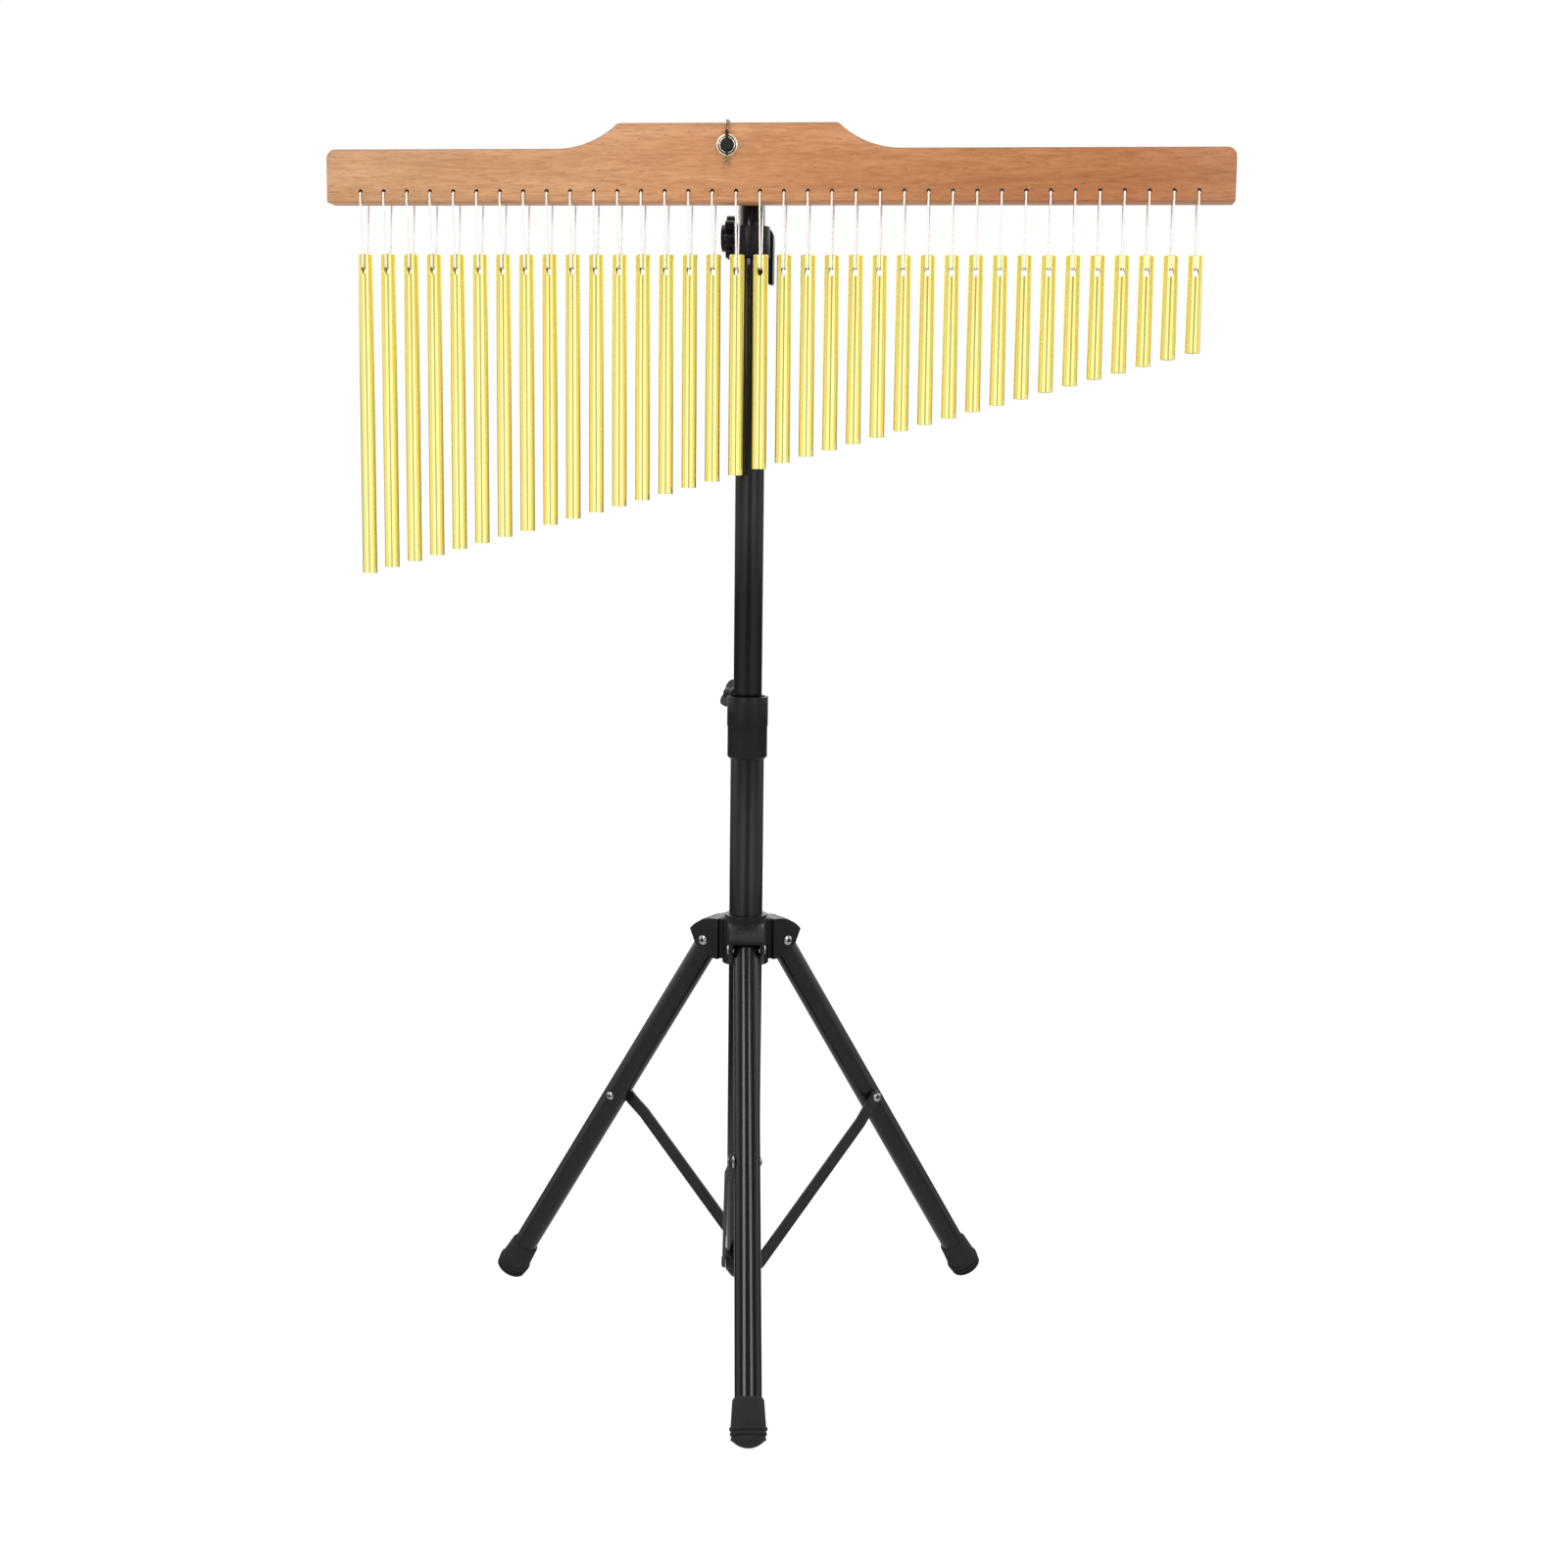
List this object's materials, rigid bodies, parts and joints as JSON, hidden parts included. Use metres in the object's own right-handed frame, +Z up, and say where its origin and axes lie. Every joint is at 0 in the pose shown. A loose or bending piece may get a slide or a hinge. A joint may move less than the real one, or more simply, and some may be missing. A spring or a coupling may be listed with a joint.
{
  "type": "bar chimes",
  "caption": "Tuned metal tubes in a row hang on cord loops from a shaped wooden bar, which hangs by an eyelet on a folding telescopic tripod stand.",
  "frame": {"origin": "bottom centre of the bounding box, on the floor under the middle of the wooden bar", "axes": "+Z up the column, +X along the bar towards the short chimes, -Y towards the player's side of the picture"},
  "size_m": [0.664, 0.382, 0.9308],
  "materials": {
    "stand_black": "satin",
    "bracket_black": "satin",
    "hub_plastic": "fine grain",
    "knob_plastic": "fine grain",
    "foot_rubber": "matte",
    "brace_steel": "satin",
    "screw_chrome": "polished",
    "chain_steel": "polished",
    "eyelet_brass": "satin",
    "bar_wood": "oiled",
    "chime_gold": "polished, gold colour"
  },
  "bodies": {
    "base": {"lower_tube": "stand_black", "base_bracket": "bracket_black", "lower_collar": "hub_plastic"},
    "hub": {"leg_hub": "hub_plastic", "hub_bolts": "screw_chrome"},
    "leg_front": {"leg_front": "stand_black", "foot_front": "foot_rubber"},
    "leg_right": {"leg_right": "stand_black", "foot_right": "foot_rubber"},
    "leg_left": {"leg_left": "stand_black", "foot_left": "foot_rubber"},
    "brace_front": {"brace_front": "brace_steel"},
    "brace_right": {"brace_right": "brace_steel"},
    "brace_left": {"brace_left": "brace_steel"},
    "collar_knob": {"collar_knob": "knob_plastic"},
    "mast": {"middle_tube": "stand_black"},
    "clamp": {"clamp_collar": "hub_plastic"},
    "clamp_lever": {"clamp_lever": "knob_plastic"},
    "clamp_knob": {"clamp_knob": "knob_plastic"},
    "head": {"top_tube": "stand_black", "hook_peg": "stand_black", "retaining_chain": "chain_steel"},
    "bar": {"wooden_bar": "bar_wood", "eyelet": "eyelet_brass"},
    "chime_01": {"chime_01": "chime_gold"},
    "chime_02": {"chime_02": "chime_gold"},
    "chime_03": {"chime_03": "chime_gold"},
    "chime_04": {"chime_04": "chime_gold"},
    "chime_05": {"chime_05": "chime_gold"},
    "chime_06": {"chime_06": "chime_gold"},
    "chime_07": {"chime_07": "chime_gold"},
    "chime_08": {"chime_08": "chime_gold"},
    "chime_09": {"chime_09": "chime_gold"},
    "chime_10": {"chime_10": "chime_gold"},
    "chime_11": {"chime_11": "chime_gold"},
    "chime_12": {"chime_12": "chime_gold"},
    "chime_13": {"chime_13": "chime_gold"},
    "chime_14": {"chime_14": "chime_gold"},
    "chime_15": {"chime_15": "chime_gold"},
    "chime_16": {"chime_16": "chime_gold"},
    "chime_17": {"chime_17": "chime_gold"},
    "chime_18": {"chime_18": "chime_gold"},
    "chime_19": {"chime_19": "chime_gold"},
    "chime_20": {"chime_20": "chime_gold"},
    "chime_21": {"chime_21": "chime_gold"},
    "chime_22": {"chime_22": "chime_gold"},
    "chime_23": {"chime_23": "chime_gold"},
    "chime_24": {"chime_24": "chime_gold"},
    "chime_25": {"chime_25": "chime_gold"},
    "chime_26": {"chime_26": "chime_gold"},
    "chime_27": {"chime_27": "chime_gold"},
    "chime_28": {"chime_28": "chime_gold"},
    "chime_29": {"chime_29": "chime_gold"},
    "chime_30": {"chime_30": "chime_gold"},
    "chime_31": {"chime_31": "chime_gold"},
    "chime_32": {"chime_32": "chime_gold"},
    "chime_33": {"chime_33": "chime_gold"},
    "chime_34": {"chime_34": "chime_gold"},
    "chime_35": {"chime_35": "chime_gold"},
    "chime_36": {"chime_36": "chime_gold"}
  },
  "joints": [
    {"name": "hub_slide", "type": "slide", "parent": "base", "child": "hub", "axis": [0, 0, 1], "range_m": [0, 0.06803]},
    {"name": "leg_front_fold", "type": "hinge", "parent": "hub", "child": "leg_front", "pos_m": [-0.01426, 0.01094, 0.3134], "axis": [0.9903, 0.1392, 0], "range_deg": [0, 32.2]},
    {"name": "leg_right_fold", "type": "hinge", "parent": "hub", "child": "leg_right", "pos_m": [0.00553, 0.05992, 0.3134], "axis": [-0.6157, 0.788, 0], "range_deg": [0, 32.2]},
    {"name": "leg_left_fold", "type": "hinge", "parent": "hub", "child": "leg_left", "pos_m": [-0.04678, 0.05257, 0.3134], "axis": [-0.3746, -0.9272, 0], "range_deg": [0, 32.2]},
    {"name": "brace_front_fold", "type": "hinge", "parent": "leg_front", "child": "brace_front", "pos_m": [-0.00202, -0.07613, 0.17378], "axis": [0.9903, 0.1392, 0], "range_deg": [-67.05, 0]},
    {"name": "brace_right_fold", "type": "hinge", "parent": "leg_right", "child": "brace_right", "pos_m": [0.07482, 0.11406, 0.17378], "axis": [-0.6157, 0.788, 0], "range_deg": [-67.05, 0]},
    {"name": "brace_left_fold", "type": "hinge", "parent": "leg_left", "child": "brace_left", "pos_m": [-0.1283, 0.08551, 0.17378], "axis": [-0.3746, -0.9272, 0], "range_deg": [-67.05, 0]},
    {"name": "mast_slide", "type": "slide", "parent": "base", "child": "mast", "axis": [0, 0, 1], "range_m": [-0.28, 0.045]},
    {"name": "head_slide", "type": "slide", "parent": "clamp", "child": "head", "axis": [0, 0, 1], "range_m": [-0.04, 0.25]},
    {"name": "clamp_lever_turn", "type": "hinge", "parent": "clamp", "child": "clamp_lever", "pos_m": [-0.013, 0.06114, 0.85045], "axis": [0, -1, 0], "range_deg": [0, 75]},
    {"name": "mast_swivel", "type": "hinge", "parent": "mast", "child": "clamp", "pos_m": [-0.0185, 0.04115, 0.85045], "axis": [0, 0, 1], "continuous": true},
    {"name": "collar_knob_turn", "type": "hinge", "parent": "base", "child": "collar_knob", "pos_m": [-0.0185, 0.04115, 0.506], "axis": [-0.7071, 0.7071, 0], "continuous": true},
    {"name": "clamp_knob_turn", "type": "hinge", "parent": "clamp", "child": "clamp_knob", "pos_m": [-0.013, 0.06114, 0.85045], "axis": [1, 0, 0], "continuous": true},
    {"name": "bar_rock", "type": "hinge", "parent": "head", "child": "bar", "pos_m": [-0.033, 0.01515, 0.9105], "axis": [0, 1, 0], "range_deg": [-6, 6]},
    {"name": "chime_01_swing", "type": "hinge", "parent": "bar", "child": "chime_01", "pos_m": [-0.30625, 0.01515, 0.878], "axis": [0, 1, 0], "range_deg": [-1.28, 35]},
    {"name": "chime_02_swing", "type": "hinge", "parent": "bar", "child": "chime_02", "pos_m": [-0.28875, 0.01515, 0.878], "axis": [0, 1, 0], "range_deg": [-1.31, 1.28]},
    {"name": "chime_03_swing", "type": "hinge", "parent": "bar", "child": "chime_03", "pos_m": [-0.27125, 0.01515, 0.878], "axis": [0, 1, 0], "range_deg": [-1.33, 1.31]},
    {"name": "chime_04_swing", "type": "hinge", "parent": "bar", "child": "chime_04", "pos_m": [-0.25375, 0.01515, 0.878], "axis": [0, 1, 0], "range_deg": [-1.35, 1.33]},
    {"name": "chime_05_swing", "type": "hinge", "parent": "bar", "child": "chime_05", "pos_m": [-0.23625, 0.01515, 0.878], "axis": [0, 1, 0], "range_deg": [-1.38, 1.35]},
    {"name": "chime_06_swing", "type": "hinge", "parent": "bar", "child": "chime_06", "pos_m": [-0.21875, 0.01515, 0.878], "axis": [0, 1, 0], "range_deg": [-1.41, 1.38]},
    {"name": "chime_07_swing", "type": "hinge", "parent": "bar", "child": "chime_07", "pos_m": [-0.20125, 0.01515, 0.878], "axis": [0, 1, 0], "range_deg": [-1.43, 1.41]},
    {"name": "chime_08_swing", "type": "hinge", "parent": "bar", "child": "chime_08", "pos_m": [-0.18375, 0.01515, 0.878], "axis": [0, 1, 0], "range_deg": [-1.46, 1.43]},
    {"name": "chime_09_swing", "type": "hinge", "parent": "bar", "child": "chime_09", "pos_m": [-0.16625, 0.01515, 0.878], "axis": [0, 1, 0], "range_deg": [-1.49, 1.46]},
    {"name": "chime_10_swing", "type": "hinge", "parent": "bar", "child": "chime_10", "pos_m": [-0.14875, 0.01515, 0.878], "axis": [0, 1, 0], "range_deg": [-1.52, 1.49]},
    {"name": "chime_11_swing", "type": "hinge", "parent": "bar", "child": "chime_11", "pos_m": [-0.13125, 0.01515, 0.878], "axis": [0, 1, 0], "range_deg": [-1.55, 1.52]},
    {"name": "chime_12_swing", "type": "hinge", "parent": "bar", "child": "chime_12", "pos_m": [-0.11375, 0.01515, 0.878], "axis": [0, 1, 0], "range_deg": [-1.59, 1.55]},
    {"name": "chime_13_swing", "type": "hinge", "parent": "bar", "child": "chime_13", "pos_m": [-0.09625, 0.01515, 0.878], "axis": [0, 1, 0], "range_deg": [-1.62, 1.59]},
    {"name": "chime_14_swing", "type": "hinge", "parent": "bar", "child": "chime_14", "pos_m": [-0.07875, 0.01515, 0.878], "axis": [0, 1, 0], "range_deg": [-1.66, 1.62]},
    {"name": "chime_15_swing", "type": "hinge", "parent": "bar", "child": "chime_15", "pos_m": [-0.06125, 0.01515, 0.878], "axis": [0, 1, 0], "range_deg": [-1.7, 1.66]},
    {"name": "chime_16_swing", "type": "hinge", "parent": "bar", "child": "chime_16", "pos_m": [-0.04375, 0.01515, 0.878], "axis": [0, 1, 0], "range_deg": [-1.74, 1.7]},
    {"name": "chime_17_swing", "type": "hinge", "parent": "bar", "child": "chime_17", "pos_m": [-0.02625, 0.01515, 0.878], "axis": [0, 1, 0], "range_deg": [-1.78, 1.74]},
    {"name": "chime_18_swing", "type": "hinge", "parent": "bar", "child": "chime_18", "pos_m": [-0.00875, 0.01515, 0.878], "axis": [0, 1, 0], "range_deg": [-1.82, 1.78]},
    {"name": "chime_19_swing", "type": "hinge", "parent": "bar", "child": "chime_19", "pos_m": [0.00875, 0.01515, 0.878], "axis": [0, 1, 0], "range_deg": [-1.87, 1.82]},
    {"name": "chime_20_swing", "type": "hinge", "parent": "bar", "child": "chime_20", "pos_m": [0.02625, 0.01515, 0.878], "axis": [0, 1, 0], "range_deg": [-1.92, 1.87]},
    {"name": "chime_21_swing", "type": "hinge", "parent": "bar", "child": "chime_21", "pos_m": [0.04375, 0.01515, 0.878], "axis": [0, 1, 0], "range_deg": [-1.97, 1.92]},
    {"name": "chime_22_swing", "type": "hinge", "parent": "bar", "child": "chime_22", "pos_m": [0.06125, 0.01515, 0.878], "axis": [0, 1, 0], "range_deg": [-2.02, 1.97]},
    {"name": "chime_23_swing", "type": "hinge", "parent": "bar", "child": "chime_23", "pos_m": [0.07875, 0.01515, 0.878], "axis": [0, 1, 0], "range_deg": [-2.08, 2.02]},
    {"name": "chime_24_swing", "type": "hinge", "parent": "bar", "child": "chime_24", "pos_m": [0.09625, 0.01515, 0.878], "axis": [0, 1, 0], "range_deg": [-2.14, 2.08]},
    {"name": "chime_25_swing", "type": "hinge", "parent": "bar", "child": "chime_25", "pos_m": [0.11375, 0.01515, 0.878], "axis": [0, 1, 0], "range_deg": [-2.2, 2.14]},
    {"name": "chime_26_swing", "type": "hinge", "parent": "bar", "child": "chime_26", "pos_m": [0.13125, 0.01515, 0.878], "axis": [0, 1, 0], "range_deg": [-2.27, 2.2]},
    {"name": "chime_27_swing", "type": "hinge", "parent": "bar", "child": "chime_27", "pos_m": [0.14875, 0.01515, 0.878], "axis": [0, 1, 0], "range_deg": [-2.34, 2.27]},
    {"name": "chime_28_swing", "type": "hinge", "parent": "bar", "child": "chime_28", "pos_m": [0.16625, 0.01515, 0.878], "axis": [0, 1, 0], "range_deg": [-2.42, 2.34]},
    {"name": "chime_29_swing", "type": "hinge", "parent": "bar", "child": "chime_29", "pos_m": [0.18375, 0.01515, 0.878], "axis": [0, 1, 0], "range_deg": [-2.5, 2.42]},
    {"name": "chime_30_swing", "type": "hinge", "parent": "bar", "child": "chime_30", "pos_m": [0.20125, 0.01515, 0.878], "axis": [0, 1, 0], "range_deg": [-2.58, 2.5]},
    {"name": "chime_31_swing", "type": "hinge", "parent": "bar", "child": "chime_31", "pos_m": [0.21875, 0.01515, 0.878], "axis": [0, 1, 0], "range_deg": [-2.68, 2.58]},
    {"name": "chime_32_swing", "type": "hinge", "parent": "bar", "child": "chime_32", "pos_m": [0.23625, 0.01515, 0.878], "axis": [0, 1, 0], "range_deg": [-2.78, 2.68]},
    {"name": "chime_33_swing", "type": "hinge", "parent": "bar", "child": "chime_33", "pos_m": [0.25375, 0.01515, 0.878], "axis": [0, 1, 0], "range_deg": [-2.89, 2.78]},
    {"name": "chime_34_swing", "type": "hinge", "parent": "bar", "child": "chime_34", "pos_m": [0.27125, 0.01515, 0.878], "axis": [0, 1, 0], "range_deg": [-3, 2.89]},
    {"name": "chime_35_swing", "type": "hinge", "parent": "bar", "child": "chime_35", "pos_m": [0.28875, 0.01515, 0.878], "axis": [0, 1, 0], "range_deg": [-3.13, 3]},
    {"name": "chime_36_swing", "type": "hinge", "parent": "bar", "child": "chime_36", "pos_m": [0.30625, 0.01515, 0.878], "axis": [0, 1, 0], "range_deg": [-35, 3.13]}
  ],
  "couplings": [
    {"joint": "leg_front_fold", "follows": "hub_slide", "rad_per_m": 8.2611},
    {"joint": "leg_right_fold", "follows": "hub_slide", "rad_per_m": 8.2611},
    {"joint": "leg_left_fold", "follows": "hub_slide", "rad_per_m": 8.2611},
    {"joint": "brace_front_fold", "follows": "hub_slide", "rad_per_m": -17.2},
    {"joint": "brace_right_fold", "follows": "hub_slide", "rad_per_m": -17.2},
    {"joint": "brace_left_fold", "follows": "hub_slide", "rad_per_m": -17.2}
  ]
}
